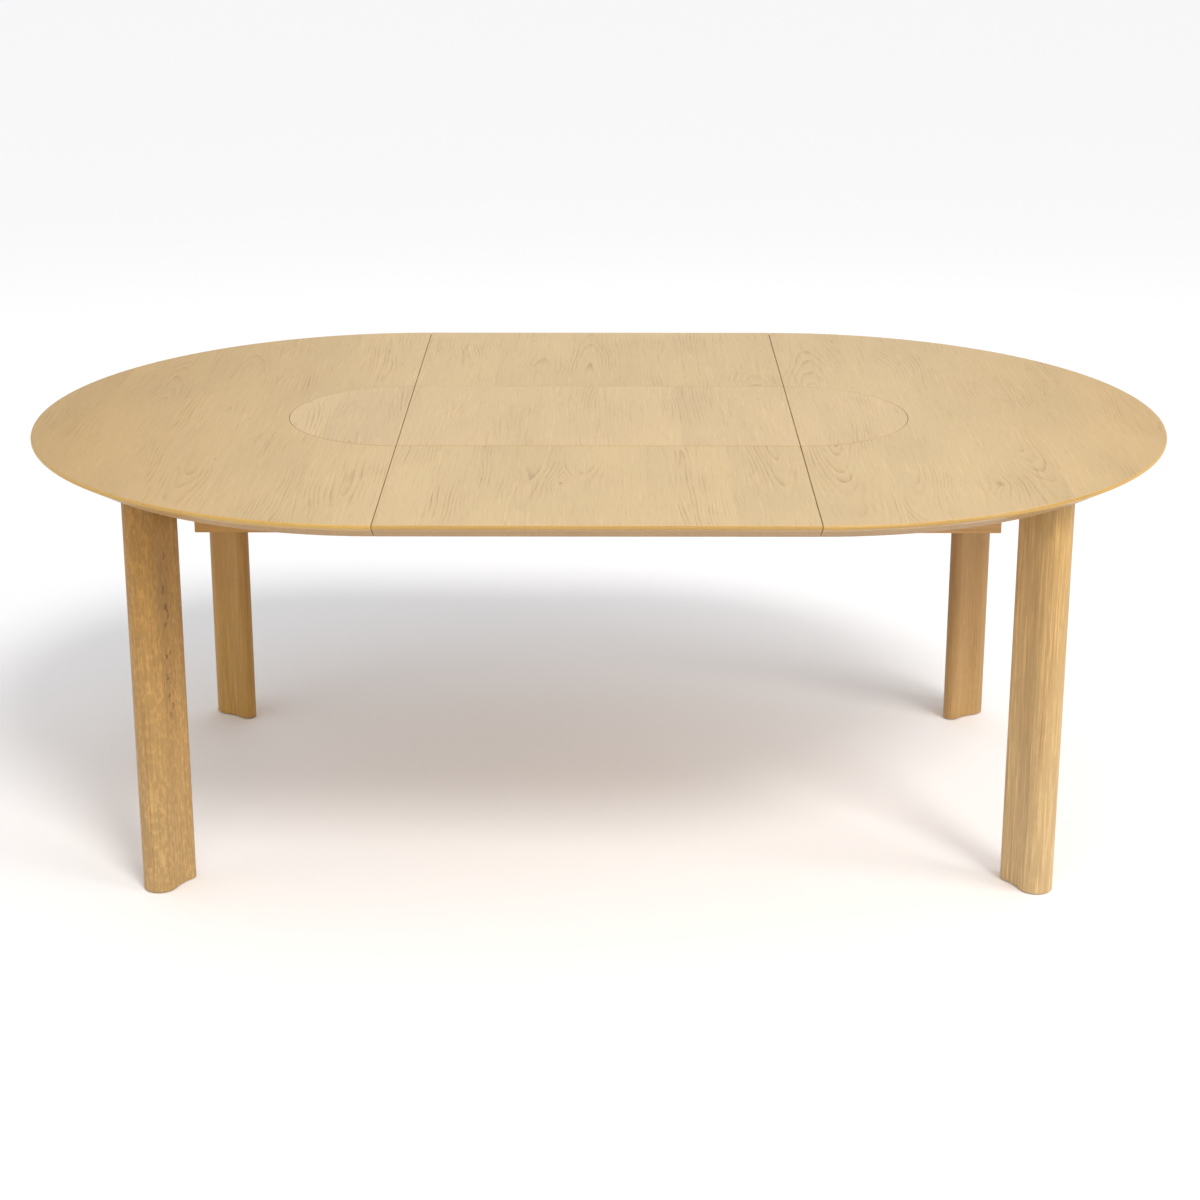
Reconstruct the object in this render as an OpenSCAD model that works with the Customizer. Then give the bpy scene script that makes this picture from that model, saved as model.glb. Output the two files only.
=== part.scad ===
// Extendable dining table: two half-round tops on four flanked legs, drawn open with one leaf between
// the halves. X runs along the table, the front is -Y and the floor is Z = 0. Millimetres.

/* [Table] */
// Height of the table top above the floor
table_h = 730; // [680:5:780]
// Diameter of the round top when the table is closed
top_d = 1310; // [1100:10:1600]
// Thickness of the top and of the leaf
top_t = 33; // [27:0.5:40]
// Width of the extension leaf, from seam to seam
leaf_w = 690; // [560:10:840]
// Gap at each seam beside the leaf
seam_gap = 1.2; // [0.4:0.2:2]
// Eased edge along each seam
seam_arris = 0.6; // [0.3:0.1:1.5]

/* [Edge] */
// Radius between the top face and the nose
edge_upper_r = 4; // [2:0.5:7]
// Straight height of the nose
edge_flat = 0.5; // [0.5:0.5:4]
// Radius between the nose and the bevel underneath
edge_lower_r = 3; // [2:0.5:8]
// Width of the bevel under the rim, seen from below
bevel_w = 47; // [30:1:60]
// Width of the solid lipping round the rim
lipping_w = 13; // [8:1:20]
// Thickness of the veneer that runs out over the lipping
veneer_t = 0.8; // [0.5:0.1:2]

/* [Inlay] */
// Diameter of the round inlay when the table is closed
inlay_d = 414; // [300:2:520]
// Thickness of the inlay
inlay_t = 3; // [1:0.5:5]
// Gap round the curved and long sides of the inlay
inlay_gap = 0.9; // [0.1:0.1:1.2]

/* [Legs] */
// Distance from the rim to the centre of a leg's outer bulge
leg_inset = 84; // [70:1:140]
// Radius of the outer bulge
leg_outer_r = 29; // [24:1:36]
// Radius of the inner bulge
leg_inner_r = 16; // [12:1:22]
// Distance between the centres of the two bulges
leg_spacing = 53; // [48:1:66]
// Radius of the hollow flanks between the bulges
flank_r = 80; // [60:1:140]
// Thickness of the glides under the legs
glide_t = 2; // [1:0.5:5]
// Diameter of the glide under the outer bulge
glide_outer_d = 26; // [16:1:36]
// Diameter of the glide under the inner bulge
glide_inner_d = 18; // [12:1:22]
// Length of a glide's nail
glide_nail_len = 14; // [8:1:20]
// Diameter of a glide's nail
glide_nail_d = 3.5; // [2:0.5:5]

/* [Leg plates] */
// Thickness of the steel plate on a leg
plate_t = 5; // [4:0.5:6]
// Length of the plate, along the leg's longer side
plate_len = 110; // [100:1:120]
// Width of the plate, across the leg
plate_w = 120; // [108:1:130]
// Corner radius of the plate
plate_corner_r = 8; // [3:1:15]
// Distance between plate screws along the leg's longer side
plate_screw_pitch = 60; // [50:1:76]
// Distance between plate screws across the leg
plate_screw_gauge = 96; // [84:1:104]
// Diameter of a leg bolt
bolt_d = 8; // [6:1:10]
// Length of a leg bolt
bolt_len = 50; // [40:5:60]
// Outer diameter of the threaded insert
insert_d = 12; // [11:1:14]
// Length of the threaded insert
insert_len = 25; // [15:1:30]

/* [Aprons] */
// Height of the aprons
apron_h = 65; // [55:1:80]
// Thickness of the aprons
apron_t = 22; // [18:1:28]
// Distance from the outer bulge's centre back to the side apron's face
apron_set_in = 18; // [10:1:40]
// Gap between a side apron's end and the leg
apron_leg_gap = 32; // [20:1:60]
// Gap between a side apron and the seam
apron_seam_gap = 2; // [1:0.5:6]
// Distance from a side apron's end to the cross apron
cross_inset = 26; // [20:1:60]
// Length of the cross apron's tenons
tenon_len = 12; // [8:1:16]
// Thickness of the tenons
tenon_t = 8; // [6:1:12]
// Shoulder above and below a tenon
tenon_shoulder = 12; // [8:1:18]
// Height of the blocks that hold the aprons to the top
block_h = 40; // [30:1:50]
// Side of the three-cornered blocks and length of the square ones
block_len = 48; // [40:1:60]
// Thickness of the square blocks
block_t = 22; // [18:1:28]
// Distance from the seam to the square blocks
block_seam = 85; // [60:1:120]

/* [Runners] */
// Height of the sliding runners
runner_h = 45; // [38:1:52]
// Thickness of one runner
runner_t = 22; // [20:1:28]
// Distance from the table's middle line to the joint between a pair of runners
runner_y = 215; // [205:1:250]
// Length of runner that reaches past the middle of the leaf
runner_engage = 155; // [120:5:180]
// Depth of the dovetail tongue
tongue_d = 8; // [6:1:10]
// Width of the tongue at its root
tongue_root = 12; // [10:1:16]
// Width of the tongue at its tip
tongue_tip = 18; // [16:1:24]
// Play between the tongue and its groove
slide_play = 0.3; // [0.2:0.1:0.6]
// Length of the stop in a groove's end
stop_len = 20; // [12:1:30]
// Extra opening that frees the leaf, until the stop meets the tongue
over_travel = 60; // [30:5:80]
// Room round the runners where they pass a cross apron
notch_play = 3; // [1:0.5:6]

/* [Leaf fittings] */
// Thickness of the aligner plates that carry the leaf's edge
aligner_t = 4; // [3:0.5:6]
// Width of an aligner plate
aligner_w = 30; // [24:1:40]
// Length of an aligner plate
aligner_len = 85; // [70:1:110]
// Length of an aligner plate that reaches past the seam
aligner_out = 26; // [15:1:35]
// Distance between the left and the right half's aligners, across the table
aligner_pitch = 56; // [50:1:80]
// Width of the leaf's cleats
cleat_w = 40; // [30:1:60]
// Height of the leaf's cleats
cleat_h = 18; // [12:1:24]
// Gap between the cleats' ends and the runners
cleat_gap = 6; // [3:1:12]
// Distance between the two cleats
cleat_pitch = 360; // [300:10:400]
// Distance from the middle line to the left half's latches
left_latch_y = 70; // [65:1:80]
// Distance from the middle line to the right half's latches
right_latch_y = 150; // [140:1:160]
// Distance from the seam to a latch pivot and to a keeper pin
latch_set_back = 22; // [18:1:30]
// Thickness of a latch
latch_t = 3; // [2:0.5:4]
// Width of a latch's arm
latch_w = 17; // [15:1:20]
// Wall outside a latch's slot
latch_lip = 4.5; // [3.5:0.5:7]
// Diameter of a latch pivot's shoulder
pivot_d = 8; // [6:1:10]
// Thickness of the washer face above a latch
pivot_washer_t = 4; // [2:0.5:6]
// Diameter of a keeper pin
keeper_d = 6; // [5:0.5:8]
// Depth of a keeper pin in the wood
keeper_bite = 15; // [10:1:20]

/* [Screws] */
// Diameter of the wood screws
screw_d = 5; // [4:0.5:6]
// Head diameter of the wood screws
screw_head_d = 9.5; // [8:0.5:12]
// Depth that every screw reaches into the top
screw_bite = 22; // [14:1:24]

/* [Hidden] */
$fn = 96;

veneer = [0.85, 0.75, 0.60];
oak = [0.80, 0.63, 0.40];
oak_edge = [0.85, 0.69, 0.42];
beech = [0.83, 0.66, 0.48];
steel = [0.62, 0.64, 0.66];
black_steel = [0.16, 0.16, 0.17];
brass = [0.78, 0.62, 0.28];
nylon = [0.22, 0.20, 0.18];

LEFT = -1;
RIGHT = 1;
FRONT = -1;
BACK = 1;
ENDS = [FRONT, BACK];
// Radial clearance of a fastener in its hole
snug = 0.05;
// Extra length of a cut past a surface
past = 1;

top_r = top_d / 2;
seam = leaf_w / 2;
under = table_h - top_t;
reach = 2 * top_r;

// Edge profile: the bevel touches the lower arc, which meets the nose
nose = edge_upper_r + edge_flat;
bevel_run = [bevel_w - edge_lower_r, top_t - nose];
bevel_normal = atan2(bevel_run[1], bevel_run[0]) - asin(edge_lower_r / norm(bevel_run)) - 90;
lower_c = [top_r - edge_lower_r, table_h - nose];
upper_c = [top_r - edge_upper_r, table_h - edge_upper_r];
bevel_end = lower_c + edge_lower_r * [cos(bevel_normal), sin(bevel_normal)];

// Leg section: its flanks are arcs that touch both bulges, cut a hair deeper so that they cross them
flank_bite = 0.01;
leg_reach = top_r - leg_inset;
leg_xy = [seam + leg_reach * cos(45), leg_reach * sin(45)];
inner_c = [-leg_spacing, 0];
outer_d = leg_outer_r + flank_r;
inner_d = leg_inner_r + flank_r;
flank_x = (pow(inner_d, 2) - pow(outer_d, 2) - pow(leg_spacing, 2)) / (2 * leg_spacing);
flank_c = [flank_x, sqrt(pow(outer_d, 2) - pow(flank_x, 2))];
outer_touch = flank_c * leg_outer_r / outer_d;
inner_touch = inner_c + (flank_c - inner_c) * leg_inner_r / inner_d;
plate_mid = -leg_spacing / 2;
leg_inner_tip = seam + (leg_reach - leg_spacing) * cos(45) - leg_inner_r;

// Aprons
apron_face = leg_xy[1] - apron_set_in;
apron_inside = apron_face - apron_t;
apron_end = leg_inner_tip - apron_leg_gap;
cross_face = apron_end - cross_inset;
cross_inside = cross_face - apron_t;

// Runners: the two of a pair lie side by side over the whole length when the table is closed
runner_out = leaf_w + runner_engage;
runner_len = runner_out + runner_engage;
face_gap = 2 * slide_play;
pair_half = runner_t + face_gap / 2;
tongue_start = stop_len + over_travel - runner_engage;
held = runner_out - seam;
runner_screws_at = [for (share = [0.08, 0.36, 0.64, 0.92]) seam + share * held];

// Leaf fittings
aligner_mid = (apron_face + top_r - bevel_w) / 2;
latch_reach = 2 * latch_set_back;
slot_half = keeper_d / 2 + slide_play;
latch_top = under - pivot_washer_t;
cleat_half = runner_y - pair_half - cleat_gap;

function flip(p) = [p[0], -p[1]];
function latch_y(side) = side == LEFT ? left_latch_y : right_latch_y;
function aligner_y(side) = aligner_mid + side * aligner_pitch / 2;
function plate_screw_xy() =
    [for (u = [-1, 1], v = [-1, 1]) [plate_mid + u * plate_screw_pitch / 2, v * plate_screw_gauge / 2]];

// Solids of revolution for the fasteners, standing on Z = 0 with the head down
module wood_screw(len) {
    head_h = (screw_head_d - screw_d) / 2;
    recess = screw_head_d / 2;
    difference() {
        rotate_extrude() polygon([
            [0, 0], [screw_head_d / 2, 0], [screw_d / 2, head_h], [screw_d / 2, len - screw_d], [0, len]
        ]);
        for (turn = [0, 90]) rotate(turn) translate([-recess / 2, -recess / 10, -past])
            cube([recess, recess / 5, head_h * 0.7 + past]);
    }
}

module screw_hole(len) {
    head_h = (screw_head_d - screw_d) / 2;
    rotate_extrude() polygon([
        [0, -past], [screw_head_d / 2 + snug, -past], [screw_head_d / 2 + snug, 0],
        [screw_d / 2 + snug, head_h], [screw_d / 2 + snug, len + past], [0, len + past]
    ]);
}

module rounded_plate(size, corner) {
    square([size[0] - 2 * corner, size[1]], center = true);
    square([size[0], size[1] - 2 * corner], center = true);
    for (u = [-1, 1], v = [-1, 1])
        translate([u * (size[0] / 2 - corner), v * (size[1] / 2 - corner)]) circle(corner);
}

// Places in the frame of one leg: X points out along the diagonal and Z = 0 is the floor
module at_leg(side, end) translate([side * leg_xy[0], end * leg_xy[1], 0])
    mirror([side == LEFT ? 1 : 0, 0, 0]) mirror([0, end == FRONT ? 1 : 0, 0]) rotate(45) children();
module at_legs(side) for (end = ENDS) at_leg(side, end) children();
module at_bulges() for (x = [0, -leg_spacing]) translate([x, 0, 0]) children();

// Tops
module edge_section() {
    polygon([
        [0, under], [top_r - bevel_w, under], bevel_end, lower_c, upper_c, [upper_c[0], table_h], [0, table_h]
    ]);
    translate(lower_c) circle(edge_lower_r);
    translate(upper_c) circle(edge_upper_r);
    translate([upper_c[0], lower_c[1]]) square([edge_upper_r, edge_flat]);
}

module lipping_zone() translate([top_r - lipping_w, 0]) square([lipping_w + past, table_h - veneer_t]);

module panel_section() difference() {
    edge_section();
    lipping_zone();
}

module lipping_section() intersection() {
    edge_section();
    lipping_zone();
}

module seam_edge(x) translate([x, 0, table_h]) rotate([0, 45, 0])
    cube([seam_arris * sqrt(2), reach, seam_arris * sqrt(2)], center = true);

module one_half(side) difference() {
    intersection() {
        translate([side * seam, 0, 0]) children();
        translate([side * (seam + seam_gap / 2 + reach / 2), 0, table_h / 2])
            cube([reach, reach, 2 * table_h], center = true);
    }
    seam_edge(side * (seam + seam_gap / 2));
}

module across_leaf() difference() {
    translate([-seam + seam_gap / 2, 0, 0]) rotate([90, 0, 90]) linear_extrude(leaf_w - seam_gap) {
        children();
        mirror([1, 0, 0]) children();
    }
    for (side = [LEFT, RIGHT]) seam_edge(side * (seam - seam_gap / 2));
}

module half_top(side) color(veneer) difference() {
    one_half(side) rotate_extrude() panel_section();
    translate([side * seam, 0, table_h - inlay_t]) cylinder(d = inlay_d, h = inlay_t + past);
    at_legs(side) translate([plate_mid, 0, under - past]) linear_extrude(plate_t + past)
        rounded_plate([plate_len + 2 * snug, plate_w + 2 * snug], plate_corner_r);
    at_plate_screws(side) screw_hole(screw_bite);
    at_block_screws(side) screw_hole(block_h + screw_bite);
    at_runner_screws(side) screw_hole(runner_h + screw_bite);
    at_aligner_screws(side) screw_hole(aligner_t + screw_bite);
    at_pivots(side) cylinder(d = screw_d + 2 * snug, h = screw_bite);
    if (side == LEFT) at_left_keepers() keeper_hole();
}

module half_lipping(side) color(oak_edge) one_half(side) rotate_extrude() lipping_section();

module half_inlay(side) color(veneer) one_half(side) translate([0, 0, table_h - inlay_t])
    cylinder(d = inlay_d - 2 * inlay_gap, h = inlay_t);

module leaf_panel() color(veneer) difference() {
    across_leaf() panel_section();
    translate([0, 0, table_h]) cube([leaf_w + past, inlay_d, 2 * inlay_t], center = true);
    at_cleat_screws() screw_hole(cleat_h + screw_bite);
    at_leaf_keepers() keeper_hole();
}

module leaf_lipping() color(oak_edge) across_leaf() lipping_section();

module leaf_inlay() color(veneer) across_leaf() translate([-past, table_h - inlay_t])
    square([inlay_d / 2 - inlay_gap + past, inlay_t]);

// Legs, their plates and what fastens them
module leg_section() {
    circle(leg_outer_r);
    translate(inner_c) circle(leg_inner_r);
    difference() {
        polygon([[0, 0], outer_touch, inner_touch, inner_c, flip(inner_touch), flip(outer_touch)]);
        translate(flank_c) circle(flank_r + flank_bite);
        translate(flip(flank_c)) circle(flank_r + flank_bite);
    }
}

module leg(side, end) color(oak) at_leg(side, end) difference() {
    translate([0, 0, glide_t]) linear_extrude(under - glide_t) leg_section();
    at_bulges() {
        translate([0, 0, under - insert_len]) cylinder(d = insert_d + 2 * snug, h = insert_len + past);
        translate([0, 0, under - bolt_len]) cylinder(d = bolt_d + 1, h = bolt_len);
        translate([0, 0, glide_t - past]) cylinder(d = glide_nail_d + 2 * snug, h = glide_nail_len + 2 * past);
    }
}

module at_plate_screws(side) at_legs(side) for (p = plate_screw_xy())
    translate([p[0], p[1], under]) children();

module leg_plate() difference() {
    translate([plate_mid, 0, under]) linear_extrude(plate_t)
        rounded_plate([plate_len, plate_w], plate_corner_r);
    for (p = plate_screw_xy()) translate([p[0], p[1], under]) screw_hole(screw_bite);
    at_bulges() translate([0, 0, under + plate_t]) bolt_shape(snug, past);
}

// A countersunk bolt that hangs from Z = 0, grown by a clearance and reaching a little past its ends
module bolt_shape(grow, lead) rotate_extrude() polygon([
    [0, -bolt_len - lead], [bolt_d / 2 + grow, -bolt_len - lead], [bolt_d / 2 + grow, -bolt_d / 2],
    [bolt_d + grow, 0], [bolt_d + grow, lead], [0, lead]
]);

module leg_bolt() difference() {
    translate([0, 0, under + plate_t]) bolt_shape(-snug, 0);
    translate([0, 0, under + plate_t - bolt_d / 3]) cylinder(d = bolt_d * 0.7, h = bolt_d, $fn = 6);
}

module leg_insert() translate([0, 0, under - insert_len]) difference() {
    cylinder(d = insert_d, h = insert_len);
    translate([0, 0, -past]) cylinder(d = bolt_d, h = insert_len + 2 * past);
}

module leg_plates(side) color(black_steel) at_legs(side) leg_plate();
module leg_bolts(side) color(steel) at_legs(side) at_bulges() leg_bolt();
module leg_inserts(side) color(brass) at_legs(side) at_bulges() leg_insert();
module plate_screws(side) color(steel) at_plate_screws(side) wood_screw(screw_bite);

module glide(d) {
    cylinder(d = d, h = glide_t);
    cylinder(d = glide_nail_d, h = glide_t + glide_nail_len);
}

module glides(side) color(nylon) at_legs(side) {
    glide(glide_outer_d);
    translate(inner_c) glide(glide_inner_d);
}

// Aprons
module side_apron(side, end) color(oak) difference() {
    translate([min(side * apron_end, side * (seam + apron_seam_gap)), min(end * apron_face, end * apron_inside),
               under - apron_h])
        cube([apron_end - seam - apron_seam_gap, apron_t, apron_h]);
    cross_tenon(side, end, snug);
}

module cross_tenon(side, end, grow) {
    len = tenon_len + grow;
    translate([side * (cross_inside + apron_t / 2), end * (apron_inside + len / 2 - past / 2), under - apron_h / 2])
        cube([tenon_t + 2 * grow, len + past, apron_h - 2 * tenon_shoulder + 2 * grow], center = true);
}

module cross_apron(side) color(oak) {
    difference() {
        translate([side * (cross_inside + apron_t / 2), 0, under - apron_h / 2])
            cube([apron_t, 2 * apron_inside, apron_h], center = true);
        for (end = ENDS) translate([side * cross_face, end * runner_y, under])
            cube([3 * apron_t, 2 * (pair_half + notch_play), 2 * (runner_h + notch_play)], center = true);
    }
    for (end = ENDS) cross_tenon(side, end, 0);
}

module at_apron_corners(side) for (end = ENDS) translate([side * cross_inside, end * apron_inside, under - block_h])
    mirror([side == RIGHT ? 1 : 0, 0, 0]) mirror([0, end == BACK ? 1 : 0, 0]) children();
module at_seam_blocks(side) for (end = ENDS)
    translate([side * (seam + block_seam), end * (apron_inside - block_t / 2), under - block_h]) children();

module apron_blocks(side) color(beech) difference() {
    union() {
        at_apron_corners(side) linear_extrude(block_h) polygon([[0, 0], [block_len, 0], [0, block_len]]);
        at_seam_blocks(side) translate([-block_len / 2, -block_t / 2, 0]) cube([block_len, block_t, block_h]);
    }
    at_block_screws(side) screw_hole(block_h + screw_bite);
}

module at_block_screws(side) {
    at_apron_corners(side) translate([block_len / 4, block_len / 4, 0]) children();
    at_seam_blocks(side) for (u = [-1, 1]) translate([u * block_len / 4, 0, 0]) children();
}

module block_screws(side) color(steel) at_block_screws(side) wood_screw(block_h + screw_bite);

// Runners: the left member of a pair lies nearer the middle line and carries the tongue
module tongue_section(play) polygon([
    [-face_gap / 2 - play, -tongue_root / 2 - play], [face_gap / 2 + tongue_d + play, -tongue_tip / 2 - play],
    [face_gap / 2 + tongue_d + play, tongue_tip / 2 + play], [-face_gap / 2 - play, tongue_root / 2 + play]
]);

module at_pair(end) mirror([0, end == FRONT ? 1 : 0, 0]) translate([0, runner_y, under - runner_h]) children();

module along_x(from, to) translate([from, 0, runner_h / 2]) rotate([90, 0, 90]) linear_extrude(to - from) children();

module left_runner(end) color(beech) difference() {
    at_pair(end) {
        translate([-runner_out, -pair_half, 0]) cube([runner_len, runner_t, runner_h]);
        along_x(tongue_start, runner_engage) tongue_section(0);
    }
    at_runner_screws(LEFT) screw_hole(runner_h + screw_bite);
}

module right_runner(end) color(beech) difference() {
    at_pair(end) difference() {
        translate([-runner_engage, face_gap / 2, 0]) cube([runner_len, runner_t, runner_h]);
        along_x(-runner_engage - past, runner_out + past) tongue_section(slide_play);
    }
    at_runner_screws(RIGHT) screw_hole(runner_h + screw_bite);
}

module at_runner_screws(side) for (end = ENDS, x = runner_screws_at)
    translate([side * x, end * (runner_y + side * (runner_t / 2 + face_gap / 2)), under - runner_h]) children();

module runner_screws(side) color(steel) at_runner_screws(side) wood_screw(runner_h + screw_bite);

// A stop fills the groove from its face to its floor
module runner_stops() color(beech) for (end = ENDS) at_pair(end) along_x(-runner_engage, stop_len - runner_engage)
    intersection() {
        tongue_section(slide_play);
        translate([face_gap / 2, -runner_h / 2]) square([runner_t, runner_h]);
    }

// Aligners under the edges of the halves, which carry the edges of the leaf
module at_aligners(side) for (end = ENDS)
    translate([side * seam, end * aligner_y(side), under - aligner_t]) children();
module at_aligner_screws(side) at_aligners(side) for (share = [0.3, 0.75])
    translate([side * share * (aligner_len - aligner_out), 0, 0]) children();

module aligners(side) color(black_steel) difference() {
    at_aligners(side) translate([side * (aligner_len / 2 - aligner_out), 0, 0]) linear_extrude(aligner_t)
        rounded_plate([aligner_len, aligner_w], aligner_t);
    at_aligner_screws(side) screw_hole(aligner_t + screw_bite);
}

module aligner_screws(side) color(steel) at_aligner_screws(side) wood_screw(aligner_t + screw_bite);

// Cleats that keep the leaf between the runners
module at_cleats() for (u = [-1, 1]) translate([u * cleat_pitch / 2, 0, under - cleat_h]) children();
module at_cleat_screws() at_cleats() for (share = [-0.8, 0, 0.8]) translate([0, share * cleat_half, 0]) children();

module leaf_cleats() color(beech) difference() {
    at_cleats() translate([-cleat_w / 2, -cleat_half, 0]) cube([cleat_w, 2 * cleat_half, cleat_h]);
    at_cleat_screws() screw_hole(cleat_h + screw_bite);
}

module leaf_cleat_screws() color(steel) at_cleat_screws() wood_screw(cleat_h + screw_bite);

// Latches: each turns a quarter turn from along the seam to across it, and its slot takes a keeper pin
module at_pivots(side) for (end = ENDS) at_pivot(side, end) children();
module at_pivot(side, end) translate([side * (seam + latch_set_back), end * latch_y(side), under])
    mirror([side == RIGHT ? 1 : 0, 0, 0]) mirror([0, end == FRONT ? 1 : 0, 0]) children();

module latch_outline() difference() {
    union() {
        circle(d = latch_w);
        translate([0, -latch_w / 2]) square([latch_reach + slot_half + latch_lip, latch_w]);
    }
    translate([latch_reach, 0]) circle(slot_half);
    intersection() {
        difference() {
            circle(latch_reach + slot_half);
            circle(latch_reach - slot_half);
        }
        translate([latch_reach / 2, 0]) square(latch_reach);
    }
    circle(d = pivot_d + 2 * snug);
}

module latch(side, end) color(black_steel) at_pivot(side, end) translate([0, 0, -pivot_washer_t - latch_t])
    rotate(-90) {
        linear_extrude(latch_t) latch_outline();
        translate([latch_reach / 3, -latch_w / 2, -latch_w / 2]) cube([latch_w, latch_t, latch_w / 2]);
    }

module latch_pivots(side) color(steel) at_pivots(side) rotate_extrude() polygon([
    [0, -pivot_washer_t - latch_t - slide_play - pivot_d / 2],
    [pivot_d - 1, -pivot_washer_t - latch_t - slide_play - pivot_d / 2],
    [pivot_d, -pivot_washer_t - latch_t - slide_play - pivot_d / 3],
    [pivot_d, -pivot_washer_t - latch_t - slide_play],
    [pivot_d / 2, -pivot_washer_t - latch_t - slide_play],
    [pivot_d / 2, -pivot_washer_t + slide_play],
    [pivot_d, -pivot_washer_t + slide_play],
    [pivot_d, 0], [screw_d / 2, 0], [screw_d / 2, screw_bite - screw_d], [0, screw_bite]
]);

module at_leaf_keepers() for (side = [LEFT, RIGHT], end = ENDS)
    translate([side * (seam - latch_set_back), end * latch_y(side), under]) children();
module at_left_keepers() for (end = ENDS)
    translate([-seam - latch_set_back, end * latch_y(RIGHT), under]) children();

module keeper() translate([0, 0, -pivot_washer_t - latch_t - 2])
    cylinder(d = keeper_d, h = pivot_washer_t + latch_t + 2 + keeper_bite);
module keeper_hole() translate([0, 0, -past]) cylinder(d = keeper_d + 2 * snug, h = keeper_bite + 2 * past);

module leaf_keepers() color(steel) at_leaf_keepers() keeper();
module left_keepers() color(steel) at_left_keepers() keeper();

half_top(LEFT);  // left_top
half_lipping(LEFT);  // left_lipping
half_inlay(LEFT);  // left_inlay
half_top(RIGHT);  // right_top
half_lipping(RIGHT);  // right_lipping
half_inlay(RIGHT);  // right_inlay
leaf_panel();
leaf_lipping();
leaf_inlay();
leaf_cleats();
leaf_cleat_screws();
leaf_keepers();
leg(LEFT, FRONT);  // left_front_leg
leg(LEFT, BACK);  // left_back_leg
leg(RIGHT, FRONT);  // right_front_leg
leg(RIGHT, BACK);  // right_back_leg
leg_plates(LEFT);  // left_leg_plates
leg_plates(RIGHT);  // right_leg_plates
leg_inserts(LEFT);  // left_leg_inserts
leg_inserts(RIGHT);  // right_leg_inserts
leg_bolts(LEFT);  // left_leg_bolts
leg_bolts(RIGHT);  // right_leg_bolts
plate_screws(LEFT);  // left_plate_screws
plate_screws(RIGHT);  // right_plate_screws
glides(LEFT);  // left_glides
glides(RIGHT);  // right_glides
side_apron(LEFT, FRONT);  // left_front_apron
side_apron(LEFT, BACK);  // left_back_apron
cross_apron(LEFT);  // left_cross_apron
side_apron(RIGHT, FRONT);  // right_front_apron
side_apron(RIGHT, BACK);  // right_back_apron
cross_apron(RIGHT);  // right_cross_apron
apron_blocks(LEFT);  // left_apron_blocks
apron_blocks(RIGHT);  // right_apron_blocks
block_screws(LEFT);  // left_block_screws
block_screws(RIGHT);  // right_block_screws
left_runner(FRONT);  // left_front_runner
left_runner(BACK);  // left_back_runner
right_runner(FRONT);  // right_front_runner
right_runner(BACK);  // right_back_runner
runner_screws(LEFT);  // left_runner_screws
runner_screws(RIGHT);  // right_runner_screws
runner_stops();
aligners(LEFT);  // left_aligners
aligners(RIGHT);  // right_aligners
aligner_screws(LEFT);  // left_aligner_screws
aligner_screws(RIGHT);  // right_aligner_screws
latch(LEFT, FRONT);  // left_front_latch
latch(LEFT, BACK);  // left_back_latch
latch(RIGHT, FRONT);  // right_front_latch
latch(RIGHT, BACK);  // right_back_latch
latch_pivots(LEFT);  // left_latch_pivots
latch_pivots(RIGHT);  // right_latch_pivots
left_keepers();
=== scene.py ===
"""Looks of the extendable dining table: oak veneer, solid oak, beech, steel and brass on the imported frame."""

import math

import bpy
from mathutils import Euler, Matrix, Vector


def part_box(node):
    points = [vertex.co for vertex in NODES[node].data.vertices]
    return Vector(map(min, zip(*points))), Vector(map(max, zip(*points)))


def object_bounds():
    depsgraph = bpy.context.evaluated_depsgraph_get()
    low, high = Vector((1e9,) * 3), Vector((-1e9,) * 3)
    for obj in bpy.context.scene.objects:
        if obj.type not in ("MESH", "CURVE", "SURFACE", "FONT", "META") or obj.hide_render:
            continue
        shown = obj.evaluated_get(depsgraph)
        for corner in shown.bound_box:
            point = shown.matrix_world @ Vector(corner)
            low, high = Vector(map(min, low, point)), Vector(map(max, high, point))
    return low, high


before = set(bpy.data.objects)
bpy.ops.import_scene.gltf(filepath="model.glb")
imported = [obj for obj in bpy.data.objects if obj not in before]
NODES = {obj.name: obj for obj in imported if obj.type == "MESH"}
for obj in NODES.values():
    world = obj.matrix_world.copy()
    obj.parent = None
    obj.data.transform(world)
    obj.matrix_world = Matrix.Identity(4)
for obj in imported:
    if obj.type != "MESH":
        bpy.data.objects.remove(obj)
CAD_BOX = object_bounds()

SEAM_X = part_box("leaf_panel")[1][0]
TABLE_H = CAD_BOX[1][2]
RIM_R = CAD_BOX[1][1]
INLAY_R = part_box("leaf_inlay")[1][1]
INLAY_BED_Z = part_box("leaf_inlay")[0][2]

# The camera, in metres and degrees.
LENS_MM = 71.37
SENSOR_MM = 36
SHIFT_Y = -0.0859
CAMERA_AT = (0.0174, -4.1127, 1.8282)
LOOKS_DOWN = 16.93
LOOKS_LEFT = 0.21

# The light. Each area light has a place, a width and height in metres, a power in watts and a colour.
DAYLIGHT = (1.0, 0.97, 0.93)
SUN_FROM = (0.45, -0.80, 1.05)
SUN_STRENGTH = 1.28
SUN_WIDTH = 16
AREA_LIGHTS = {
    "key": ((3.3, -1.7, 2.8), (1.6, 1.6), 48, DAYLIGHT),
    "front": ((0.0, -2.6, 2.4), (2.4, 1.0), 13, DAYLIGHT),
    "fill": ((-3.6, -1.6, 1.6), (2.0, 1.6), 9, (1.0, 0.85, 0.62)),
    "back": ((0.0, 3.6, 3.0), (4.0, 1.6), 13, (0.90, 0.95, 1.0)),
}
SKY = (0.97, 0.98, 1.0, 1)
SKY_STRENGTH = 0.69

# The floor is a grid of panes, small under the table and wide around it.
FLOOR_LINES = (-300, -8, 8, 300)
FLOOR_COLOUR = (0.97, 0.97, 0.98, 1)
FLOOR_ROUGHNESS = 0.9


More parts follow.
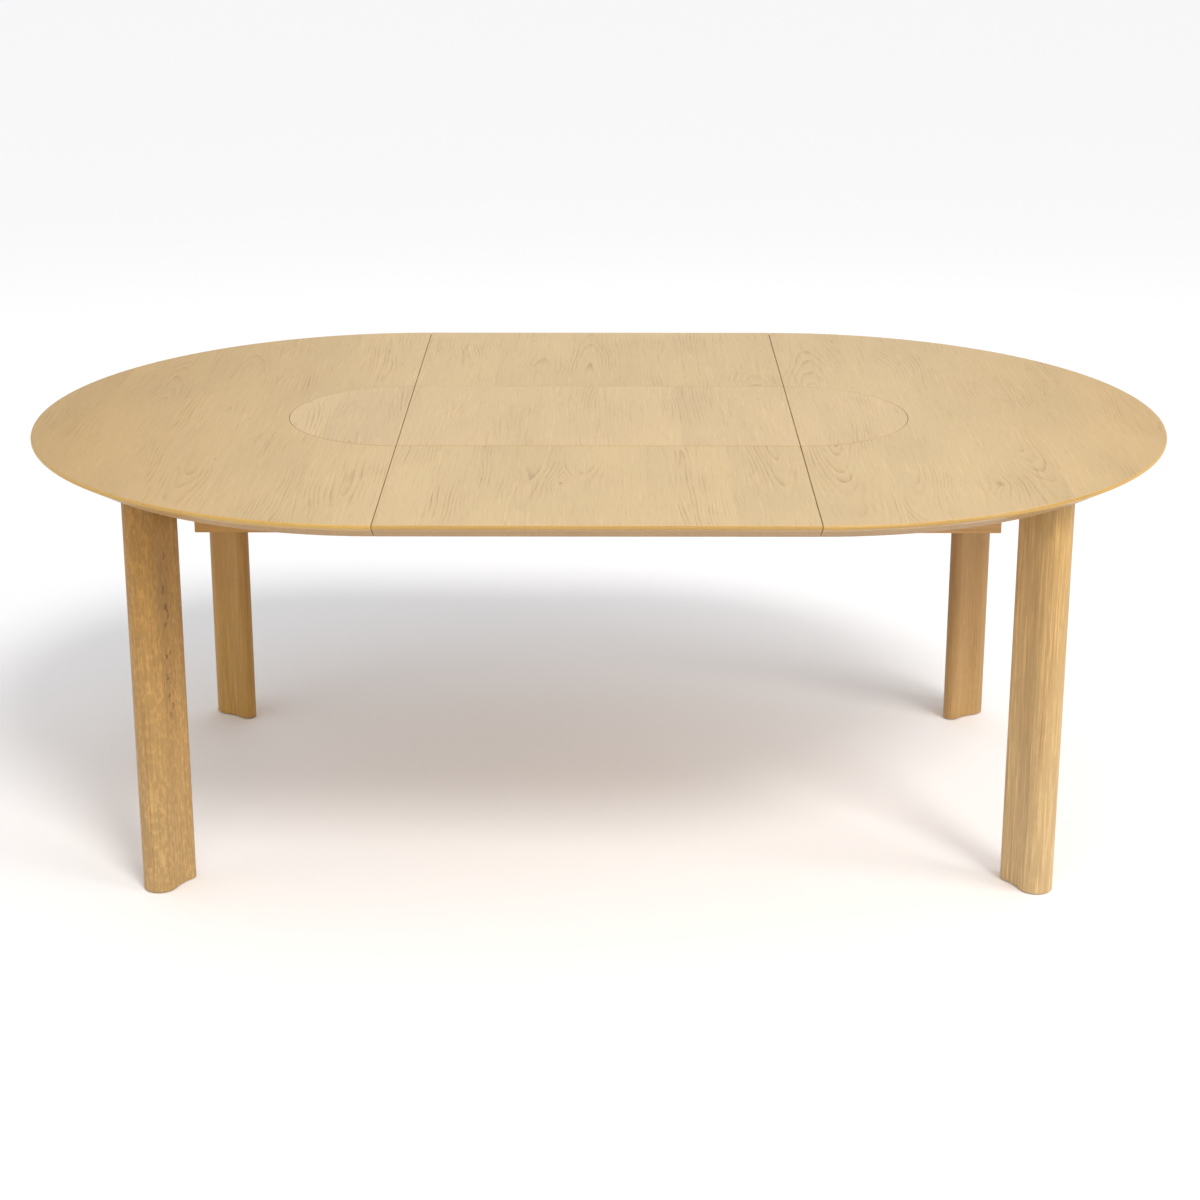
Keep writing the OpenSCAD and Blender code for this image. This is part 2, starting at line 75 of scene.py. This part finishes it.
# ---------------------------------------------------------------- camera, light and floor
def link(name, data):
    made = bpy.data.objects.new(name, data)
    bpy.context.collection.objects.link(made)
    return made


def turn_to(direction, axis):
    """Rotation that turns one axis of an object to a direction."""
    return Vector(direction).to_track_quat(axis, "Y").to_euler()


def add_camera():
    data = bpy.data.cameras.new("camera")
    data.sensor_width = SENSOR_MM
    data.lens = LENS_MM
    data.shift_y = SHIFT_Y
    camera = link("camera", data)
    camera.location = CAMERA_AT
    camera.rotation_euler = Euler((math.radians(90 - LOOKS_DOWN), 0, math.radians(LOOKS_LEFT)))
    bpy.context.scene.camera = camera


def add_sun():
    data = bpy.data.lights.new("sun", "SUN")
    data.energy = SUN_STRENGTH
    data.angle = math.radians(SUN_WIDTH)
    data.color = DAYLIGHT
    link("sun", data).rotation_euler = turn_to(SUN_FROM, "Z")


def add_area_light(name, place, size, power, colour):
    """A rectangular light that faces the middle of the table."""
    data = bpy.data.lights.new(name, "AREA")
    data.shape = "RECTANGLE"
    data.size, data.size_y = size
    data.energy = power
    data.color = colour
    lamp = link(name, data)
    lamp.location = place
    lamp.rotation_euler = turn_to(Vector((0, 0, TABLE_H / 2)) - Vector(place), "-Z")


def add_sky():
    world = bpy.data.worlds.new("studio")
    world.use_nodes = True
    sky = world.node_tree.nodes["Background"]
    sky.inputs["Color"].default_value = SKY
    sky.inputs["Strength"].default_value = SKY_STRENGTH
    bpy.context.scene.world = world
    bpy.context.scene.view_settings.view_transform = "Standard"


def add_floor():
    row = len(FLOOR_LINES)
    corners = [(x, y, 0) for y in FLOOR_LINES for x in FLOOR_LINES]
    starts = [k for k in range(row * (row - 1)) if k % row < row - 1]
    mesh = bpy.data.meshes.new("floor")
    mesh.from_pydata(corners, [], [(k, k + 1, k + row + 1, k + row) for k in starts])
    material = bpy.data.materials.new("floor")
    material.use_nodes = True
    shader = material.node_tree.nodes["Principled BSDF"]
    shader.inputs["Base Color"].default_value = FLOOR_COLOUR
    shader.inputs["Roughness"].default_value = FLOOR_ROUGHNESS
    mesh.materials.append(material)
    floor = link("floor", mesh)


# ---------------------------------------------------------------- shader building
class Graph:
    """Short names for the nodes of one material."""

    def __init__(self, name):
        self.material = bpy.data.materials.new(name)
        self.material.use_nodes = True
        self.tree = self.material.node_tree
        self.shader = self.tree.nodes["Principled BSDF"]

    def node(self, kind, **settings):
        made = self.tree.nodes.new(kind)
        for key, value in settings.items():
            setattr(made, key, value)
        return made

    def plug(self, value, socket):
        if isinstance(value, bpy.types.NodeSocket):
            self.tree.links.new(value, socket)
        else:
            socket.default_value = value

    def math(self, operation, a, b=0.0, clamp=False):
        made = self.node("ShaderNodeMath", operation=operation, use_clamp=clamp)
        self.plug(a, made.inputs[0])
        self.plug(b, made.inputs[1])
        return made.outputs[0]

    def add(self, *terms):
        total = terms[0]
        for term in terms[1:]:
            total = self.math("ADD", total, term)
        return total

    def times(self, *factors):
        product = factors[0]
        for factor in factors[1:]:
            product = self.math("MULTIPLY", product, factor)
        return product

    def minus(self, a, b):
        return self.math("SUBTRACT", a, b)

    def length(self, a, b):
        return self.math("SQRT", self.add(self.times(a, a), self.times(b, b)))

    def place(self):
        """The point in the row frame, as x, y and z."""
        split = self.node("ShaderNodeSeparateXYZ")
        self.plug(self.node("ShaderNodeTexCoord").outputs["Object"], split.inputs[0])
        return split.outputs

    def vector(self, x, y, z):
        made = self.node("ShaderNodeCombineXYZ")
        for value, socket in zip((x, y, z), made.inputs):
            self.plug(value, socket)
        return made.outputs[0]

    def noise(self, x, y, z, detail=2.0, roughness=0.5):
        made = self.node("ShaderNodeTexNoise")
        self.plug(self.vector(x, y, z), made.inputs["Vector"])
        made.inputs["Scale"].default_value = 1
        made.inputs["Detail"].default_value = detail
        made.inputs["Roughness"].default_value = roughness
        return made.outputs[0]

    def swing(self, noise, size):
        """Noise as a push of about half the size either way."""
        return self.times(self.minus(noise, 0.5), size)

    def random(self, value):
        """Three random numbers for each whole value."""
        made = self.node("ShaderNodeTexWhiteNoise", noise_dimensions="1D")
        self.plug(value, made.inputs["W"])
        split = self.node("ShaderNodeSeparateColor")
        self.plug(made.outputs["Color"], split.inputs[0])
        return split.outputs

    def span(self, value, low, high, to_low=0.0, to_high=1.0):
        made = self.node("ShaderNodeMapRange", clamp=True)
        for number, socket in zip((value, low, high, to_low, to_high), made.inputs):
            self.plug(number, socket)
        return made.outputs[0]

    def blend(self, share, a, b):
        made = self.node("ShaderNodeMix", data_type="RGBA")
        self.plug(share, made.inputs["Factor"])
        self.plug(a, made.inputs["A"])
        self.plug(b, made.inputs["B"])
        return made.outputs["Result"]

    def shade(self, colour, light):
        """Multiplies a colour by a brightness."""
        made = self.node("ShaderNodeVectorMath", operation="SCALE")
        self.plug(colour, made.inputs[0])
        self.plug(light, made.inputs["Scale"])
        return made.outputs[0]

    def bump(self, height, depth):
        made = self.node("ShaderNodeBump")
        made.inputs["Strength"].default_value = 1
        made.inputs["Distance"].default_value = depth
        self.plug(height, made.inputs["Height"])
        self.plug(made.outputs[0], self.shader.inputs["Normal"])

    def surface(self, colour, roughness, metallic=0.0):
        self.plug(colour, self.shader.inputs["Base Color"])
        self.plug(roughness, self.shader.inputs["Roughness"])
        self.shader.inputs["Metallic"].default_value = metallic
        return self.material


def rgb(*srgb):
    """Linear colour from 0-255 display values."""
    return tuple(((v / 255 + 0.055) / 1.055) ** 2.4 if v > 10 else v / 3295 for v in srgb) + (1.0,)


# ---------------------------------------------------------------- colours
VENEER_PALE = rgb(203, 175, 127)
VENEER_MELLOW = rgb(184, 150, 94)
VENEER_DARK = rgb(146, 108, 63)
INLAY_PALE = rgb(203, 175, 129)
# Painted shade: a dark glue line that also stands for the shade inside the gap round the inlay.
GLUE_AND_GAP_SHADE = rgb(52, 36, 20)
# Painted shade: a darker tone below the top face, partly backing veneer and partly the shade on the bevel.
BACKING_AND_EDGE_SHADE = rgb(164, 128, 86)
OAK_DARK = rgb(126, 84, 40)
APRON_TONES = {"left": rgb(184, 136, 64), "right": rgb(202, 156, 94)}
LIP_PALE = rgb(196, 158, 82)
LIP_STRAIGHT = rgb(182, 144, 76)
LIP_DARK = rgb(150, 104, 44)
BEECH_PALE = rgb(196, 156, 110)
BEECH_DARK = rgb(170, 120, 76)

# Each leg has the seed of its figure, its tone at the floor and a painted shade tone under the top.
LEG_LOOKS = {
    ("left", "front"): (13.0, rgb(185, 150, 95), rgb(156, 107, 6)),
    ("right", "front"): (18.0, rgb(194, 164, 116), rgb(188, 147, 82)),
    ("left", "back"): (11.0, rgb(190, 147, 72), rgb(128, 78, 4)),
    ("right", "back"): (16.0, rgb(181, 143, 88), rgb(128, 80, 12)),
}

# The wood, in metres. A pith is given from the middle of the piece.
VENEER_RING = 0.0066
TIMBER_RING = 0.0050
LIP_RING = 0.0034
PORE_DEPTH = 0.0001
TIMBER_PORE_DEPTH = 0.00015
LEG_PITH = {"left": (0.09, 0.05), "right": (-0.12, 0.05)}
LEAVES_IN_PANEL = 5

# Knots in the veneer, each with its x, its y and its size in metres.
HALVES_KNOTS = ((0.65, -0.43, 0.045), (-0.64, -0.29, 0.02), (-0.62, -0.03, 0.015))
LEAF_KNOTS = ((-0.06, -0.43, 0.02),)
INLAY_KNOTS = ((0.25, -0.09, 0.012),)

# The column of dark flecks on the left front leg, in metres: its x and y from the leg's middle, its two
# heights, the radius of its full core, the radius where it ends, and the fade at both heights.
FLECK_X, FLECK_Y = 0.02, -0.008
FLECK_LOW, FLECK_HIGH = 0.30, 0.62
FLECK_CORE, FLECK_RIM = 0.004, 0.012
FLECK_FADE = 0.03

# Where the veneer changes, in metres. It is palest at one place along the table and mellow far from it.
PALEST_X = 0.13
MELLOW_FROM, MELLOW_TO = 0.45, 1.05
# Below the top: where the face ends and the backing tone, partly painted shade on the bevel, is full.
FACE_END, BACKING_SHADE_FULL = 0.010, 0.012
# Inside the inlay's edge: where the golden rim is full and where it ends. It fades between two Y values.
RIM_FULL, RIM_END = 0.002, 0.006
RIM_FRONT_Y, RIM_BACK_Y = -0.19, -0.15
# Beside the inlay's edge: where the dark glue line, also painted shade in the gap, starts to fade and where
# it ends. It shows from just below the top down to just below the inlay's bed, and each end has a fade.
GLUE_SHADE_FULL, GLUE_SHADE_END = 0.003, 0.005
GLUE_SHADE_TOP_FULL, GLUE_SHADE_TOP_END = 0.0008, 0.0003
GLUE_SHADE_BED_FULL, GLUE_SHADE_BED_END = 0.001, 0.002


# ---------------------------------------------------------------- wood
def ring_lines(g, distance, spacing, offset):
    """Growth rings, each of its own strength, that darken slowly and end abruptly; and the earlywood mask."""
    turns = g.add(g.math("DIVIDE", distance, spacing), offset)
    part = g.math("FRACT", turns)
    strength = g.span(g.random(g.math("FLOOR", turns))[0], 0.0, 1.0, 0.15, 1.0)
    return g.times(g.math("POWER", part, 3.0), strength), g.span(part, 0.0, 0.45, 1.0, 0.0)


def add_knots(g, x, y, distance, knots):
    """Pushes the rings outward round each knot, and gives the dark spots at the knots' hearts."""
    spot = 0.0
    for knot_x, knot_y, size in knots:
        apart = g.length(g.minus(x, knot_x), g.times(g.minus(y, knot_y), 0.5))
        push = g.times(g.math("POWER", 2.0, g.times(apart, -1.0 / size)), size * 1.1)
        distance = g.add(distance, push)
        spot = g.math("MAXIMUM", g.span(apart, size * 0.04, size * 0.20, 0.5, 0.0), spot)
    return distance, spot


def veneer_tone(g, x, y, z, pale, mellow, is_inlay):
    """Ground colour: mellower ends, a golden front rim or backing, and the inlay's glue line; the last two hold
    painted shade.
    """
    from_palest = g.math("ABSOLUTE", g.minus(x, PALEST_X))
    tone = g.blend(g.span(from_palest, MELLOW_FROM, MELLOW_TO, 0.0, 1.0), pale, mellow)
    edge = g.length(g.math("MAXIMUM", g.minus(g.math("ABSOLUTE", x), SEAM_X), 0.0), y)
    if is_inlay:
        golden = g.times(g.span(edge, INLAY_R - RIM_END, INLAY_R - RIM_FULL),
                         g.span(y, RIM_FRONT_Y, RIM_BACK_Y, 0.5, 0.0))
        tone = g.blend(golden, tone, LIP_PALE)
    else:
        # Painted shade: below the top face the veneer darkens, standing for the shade on the edge's bevel and
        # underside.
        backing_and_shade = g.span(z, TABLE_H - BACKING_SHADE_FULL, TABLE_H - FACE_END, 0.8, 0.0)
        tone = g.blend(backing_and_shade, tone, BACKING_AND_EDGE_SHADE)
    # Painted shade: the gap walls round the inlay darken, a glue line that also stands for the shade in the
    # narrow gap.
    beside = g.math("ABSOLUTE", g.minus(edge, INLAY_R))
    glue_and_gap_shade = g.times(g.span(beside, GLUE_SHADE_FULL, GLUE_SHADE_END, 1.0, 0.0),
                    g.span(z, TABLE_H - GLUE_SHADE_TOP_FULL, TABLE_H - GLUE_SHADE_TOP_END, 1.0, 0.0),
                    g.span(z, INLAY_BED_Z - GLUE_SHADE_BED_END, INLAY_BED_Z - GLUE_SHADE_BED_FULL))
    return g.blend(glue_and_gap_shade, tone, GLUE_AND_GAP_SHADE)


def flat_sawn(name, pale, mellow, seed, leaf_width, first_leaf, knots, is_inlay=False):
    """Veneer leaves laid side by side along X with the grain along Y, and one arched figure in each."""
    g = Graph(name)
    x, y, z = g.place()
    leaf = g.math("DIVIDE", g.minus(x, first_leaf), leaf_width)
    one, two, three = g.random(g.add(g.math("FLOOR", leaf), seed))
    across = g.times(g.minus(g.math("FRACT", leaf), g.span(one, 0, 1, 0.2, 0.8)), leaf_width)
    along = g.add(y, g.times(two, 9.0))
    layer = g.times(three, 7.0)

    sway = g.noise(g.times(along, 2.4), layer, seed, 1)
    wobble = g.noise(g.times(across, 9), g.times(along, 2.2), layer, 2, 0.5)
    tremor = g.noise(g.times(across, 50), g.times(along, 6), layer, 2, 0.6)
    heart_side = g.add(across, g.swing(sway, 0.06))
    depth = g.add(g.times(y, g.span(three, 0, 1, -0.10, 0.10)), g.span(two, 0, 1, -0.03, 0.03))
    distance = g.add(g.length(heart_side, depth), g.swing(wobble, 0.032), g.swing(tremor, 0.004))
    distance, dark_spot = add_knots(g, x, y, distance, knots)
    late, early = ring_lines(g, distance, VENEER_RING, g.times(one, 5.0))

    figured = g.span(g.noise(g.times(x, 9), g.times(y, 3.2), seed + 3.0, 2), 0.50, 0.62)
    broken = g.span(g.noise(g.times(across, 90), g.times(along, 14), layer, 2), 0.38, 0.60, 0.25, 1.0)
    streak = g.noise(g.times(across, 210), g.times(along, 5), layer, 4, 0.72)
    fibre = g.noise(g.times(across, 560), g.times(along, 24), layer, 2, 0.6)
    light_dash = g.noise(g.times(across, 240), g.times(along, 9), g.add(layer, 4.0), 2, 0.6)
    cloud = g.noise(g.times(x, 6), g.times(y, 2.4), g.add(layer, seed), 3)
    pore = g.times(g.span(fibre, 0.56, 0.70), g.add(g.times(early, 0.5), 0.5))

    stain = g.add(g.times(late, figured, broken, 0.75), g.times(late, 0.05), g.times(pore, 0.15),
                  g.span(streak, 0.54, 0.72, 0.0, 0.26))
    stain = g.math("ADD", stain, dark_spot, clamp=True)
    light = g.add(g.span(streak, 0.3, 0.7, 0.97, 1.03), g.span(light_dash, 0.56, 0.70, 0.0, 0.09),
                  g.span(cloud, 0.3, 0.7, -0.045, 0.045), g.span(three, 0, 1, -0.03, 0.03))
    tone = veneer_tone(g, x, y, z, pale, mellow, is_inlay)
    g.bump(g.minus(g.times(streak, 0.3), pore), PORE_DEPTH)
    return g.surface(g.shade(g.blend(stain, tone, VENEER_DARK), light),
                     g.add(g.span(streak, 0.2, 0.8, 0.44, 0.54), g.times(pore, 0.15)))


def dark_flecks(g, grain, x, y, z):
    """Short dark flecks in a narrow column up a leg, between two heights."""
    beside = g.length(g.minus(x, FLECK_X), g.minus(y, FLECK_Y))
    column = g.times(g.span(beside, FLECK_CORE, FLECK_RIM, 1.0, 0.0),
                     g.span(z, FLECK_LOW, FLECK_LOW + FLECK_FADE),
                     g.span(z, FLECK_HIGH - FLECK_FADE, FLECK_HIGH, 1.0, 0.0))
    spots = g.span(grain(110, 62, 2, 0.5, 2.0), 0.57, 0.63)
    return g.times(column, spots, 0.9)


def solid_wood(name, pale, dark, seed, axis, centre, pith, contrast=0.22, rays=0.0, dashes=0.16,
               flecked=False, shade_under_top=None):
    """Timber with the grain along one axis and rings round a pith that lies off the piece."""
    g = Graph(name)
    place = dict(zip("XYZ", g.place()))
    along = place[axis]
    first, second = [g.minus(place[k], c) for k, c in zip("XYZ".replace(axis, ""), centre)]

    def grain(fine, long, detail=2, roughness=0.6, lift=0.0):
        return g.noise(g.times(first, fine), g.times(second, fine), g.add(g.times(along, long), seed + lift),
                       detail, roughness)

    sway = grain(5, 1.3, 1)
    wobble = grain(34, 3.2, 3)
    side = g.add(g.minus(first, pith[0]), g.swing(sway, 0.05))
    deep = g.add(g.minus(second, pith[1]), g.swing(sway, -0.04))
    distance = g.add(g.length(side, deep), g.swing(wobble, 0.016))
    late, early = ring_lines(g, distance, TIMBER_RING, seed * 0.37)

    figured = g.span(grain(16, 1.8, 2, 0.5, 9.0), 0.42, 0.62)
    streak = grain(190, 4.2, 4, 0.75)
    fibre = grain(480, 13, 3)
    light_dash = grain(300, 9, 2, 0.6, 5.0)
    cloud = grain(10, 2.4, 3)
    pore = g.times(g.span(grain(900, 34), 0.56, 0.72), g.add(g.times(early, 0.6), 0.4))

    stain = g.add(g.times(late, g.add(g.times(figured, contrast), contrast * 0.35)), g.times(pore, 0.30),
                  g.span(streak, 0.50, 0.66, 0.0, 0.42))
    if flecked:
        stain = g.add(stain, dark_flecks(g, grain, first, second, along))
    stain = g.math("ADD", stain, 0.0, clamp=True)
    light = g.add(g.span(streak, 0.32, 0.68, 0.92, 1.06), g.span(fibre, 0.3, 0.7, -0.04, 0.04),
                  g.span(light_dash, 0.52, 0.68, 0.0, dashes), g.span(cloud, 0.3, 0.7, -0.05, 0.05))
    if rays:
        ray = g.noise(g.add(g.times(first, 190), g.times(wobble, 10)), g.times(second, 190),
                      g.times(along, 75), 3)
        light = g.add(light, g.span(ray, 0.46, 0.64, -0.6 * rays, rays))
    # Painted shade: the wood darkens upward to the leg's top tone, standing for the tabletop's shadow on the
    # upper leg.
    if shade_under_top:
        pale = g.blend(g.span(place["Z"], 0.06, 0.72, 0.0, 0.85), pale, shade_under_top)
    g.bump(g.minus(g.times(fibre, 0.3), pore), TIMBER_PORE_DEPTH)
    return g.surface(g.shade(g.blend(stain, pale, dark), light), g.span(fibre, 0.2, 0.8, 0.46, 0.60))


def lipping_wood(name, pale, seed, centre_x):
    """Solid oak round the rim: the grain runs straight along the leaf, or round a half's centre."""
    g = Graph(name)
    x, y, z = g.place()
    if centre_x is None:
        along, out = x, g.math("ABSOLUTE", y)
    else:
        dx = g.minus(x, centre_x)
        along = g.times(g.math("ARCTAN2", y, g.math("ABSOLUTE", dx)), RIM_R)
        out = g.length(dx, y)
    layers = g.add(z, g.times(out, 0.6))
    slow = g.noise(g.times(along, 2.2), g.times(layers, 30), seed, 2)
    fibre = g.noise(g.times(along, 9), g.times(layers, 700), g.times(out, 400), 3, 0.6)
    late = ring_lines(g, g.add(layers, g.times(slow, 0.012)), LIP_RING, seed)[0]
    pore = g.span(g.noise(g.times(along, 60), g.times(layers, 1100), seed, 2), 0.56, 0.74)
    stain = g.add(g.times(late, 0.30), g.times(pore, 0.35), g.span(slow, 0.45, 0.75, 0.0, 0.45))
    stain = g.math("ADD", stain, 0.0, clamp=True)
    g.bump(g.minus(g.times(fibre, 0.3), pore), PORE_DEPTH)
    colour = g.shade(g.blend(stain, pale, LIP_DARK), g.span(fibre, 0.3, 0.7, 0.94, 1.06))
    return g.surface(colour, g.span(fibre, 0.2, 0.8, 0.24, 0.34))


# ---------------------------------------------------------------- metal and plastic
def metal(name, colour, worn, seed, rough, metallic, grain=900.0, pitted=0.00004):
    """Plated, painted or machined metal with a fine skin, cloudy gloss and small rubbed spots."""
    g = Graph(name)
    place = g.place()

    def skin(scale, detail=2):
        return g.noise(*[g.times(k, scale) for k in place], detail)

    fine = skin(grain)
    cloud = skin(38.0 + seed)
    rub = g.span(skin(150.0 + seed, 4), 0.60, 0.70)
    g.bump(fine, pitted)
    shaded = g.shade(g.blend(g.times(rub, 0.55), colour, worn), g.span(cloud, 0.3, 0.7, 0.9, 1.1))
    gloss = g.add(g.span(cloud, 0.3, 0.7, rough - 0.07, rough + 0.07), g.span(fine, 0.3, 0.7, -0.03, 0.03))
    return g.surface(shaded, gloss, metallic)


# ---------------------------------------------------------------- what each node is made of
def dress(name, material):
    slots = NODES[name].data.materials
    slots.clear()
    slots.append(material)


def dress_tops():
    width = 2 * SEAM_X / LEAVES_IN_PANEL
    halves = flat_sawn("veneer_halves", VENEER_PALE, VENEER_MELLOW, 11.0, width, SEAM_X, HALVES_KNOTS)
    leaf = flat_sawn("veneer_leaf", VENEER_PALE, VENEER_MELLOW, 31.0, width, -SEAM_X + 0.01, LEAF_KNOTS)
    inlay = flat_sawn("veneer_inlay", INLAY_PALE, INLAY_PALE, 53.0, width * 0.9, 0.02, INLAY_KNOTS,
                      is_inlay=True)
    for side in ("left", "right"):
        dress(f"{side}_top", halves)
        dress(f"{side}_inlay", inlay)
    dress("leaf_panel", leaf)
    dress("leaf_inlay", inlay)
    dress("left_lipping", lipping_wood("left_lipping", LIP_PALE, 1.0, -SEAM_X))
    dress("leaf_lipping", lipping_wood("leaf_lipping", LIP_STRAIGHT, 2.0, None))
    dress("right_lipping", lipping_wood("right_lipping", LIP_PALE, 3.0, SEAM_X))


def middle(box):
    """Middle of a box, from its low and high corners."""
    low, high = box
    return (low + high) / 2


def leg_wood(side, end, centre):
    """Oak for one leg, with painted shade darker towards the top. The two front legs have figure of their own.
    """
    seed, low_tone, painted_shade_tone = LEG_LOOKS[side, end]
    looks = {"rays": 0.03, "shade_under_top": painted_shade_tone}
    if (side, end) == ("left", "front"):
        looks.update(rays=0.16, flecked=True)
    if (side, end) == ("right", "front"):
        looks.update(dashes=0.34)
    return solid_wood(f"{side}_{end}_leg", low_tone, OAK_DARK, seed, "Z", centre, LEG_PITH[side], **looks)


def oak(name, side, seed, axis, centre, pith):
    return solid_wood(name, APRON_TONES[side], OAK_DARK, seed, axis, centre, pith)


def beech(name, seed, axis, centre, pith):
    return solid_wood(name, BEECH_PALE, BEECH_DARK, seed, axis, centre, pith, contrast=0.15)


def dress_frame():
    for turn, side in enumerate(("left", "right")):
        for end in ("front", "back"):
            leg = middle(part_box(f"{side}_{end}_leg"))
            dress(f"{side}_{end}_leg", leg_wood(side, end, leg[:2]))
            apron = middle(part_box(f"{side}_{end}_apron"))
            dress(f"{side}_{end}_apron",
                  oak(f"{side}_{end}_apron", side, 8.0 + turn, "X", apron[1:], (0.06, 0.10)))
            runner = middle(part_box(f"{side}_{end}_runner"))
            dress(f"{side}_{end}_runner",
                  beech(f"{side}_{end}_runner", 14.0 + turn, "X", runner[1:], (0.2, 0.1)))
        cross = middle(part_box(f"{side}_cross_apron"))
        dress(f"{side}_cross_apron",
              oak(f"{side}_cross_apron", side, 20.0 + turn, "Y", (cross[0], cross[2]), (0.07, 0.09)))
        dress(f"{side}_apron_blocks", beech(f"{side}_blocks", 24.0 + turn, "Z", (0, 0), (0.3, 0.3)))
    dress("leaf_cleats", beech("cleats", 29.0, "Y", (0, TABLE_H), (0.2, 0.1)))
    dress("runner_stops", beech("stops", 33.0, "X", (0, TABLE_H), (0.2, 0.1)))


def dress_fittings():
    black = metal("black_steel", rgb(38, 38, 40), rgb(92, 90, 88), 3.0, 0.5, 0.2)
    zinc = metal("zinc_steel", rgb(190, 192, 196), rgb(150, 148, 140), 7.0, 0.34, 1.0, 1400.0, 0.00002)
    brass = metal("brass", rgb(205, 165, 90), rgb(160, 120, 62), 11.0, 0.32, 1.0, 1400.0, 0.00002)
    nylon = metal("nylon", rgb(70, 64, 58), rgb(110, 104, 96), 15.0, 0.6, 0.0, 600.0)
    wood = ("top", "lipping", "inlay", "panel", "leg", "apron", "runner", "blocks", "cleats", "stops")
    kinds = {"inserts": brass, "glides": nylon, "plates": black, "aligners": black, "latch": black}
    for name in NODES:
        last = name.split("_")[-1]
        if last not in wood:
            dress(name, kinds.get(last, zinc))


add_camera()
add_sun()
for lamp_name, settings in AREA_LIGHTS.items():
    add_area_light(lamp_name, *settings)
add_sky()
add_floor()
dress_tops()
dress_frame()
dress_fittings()
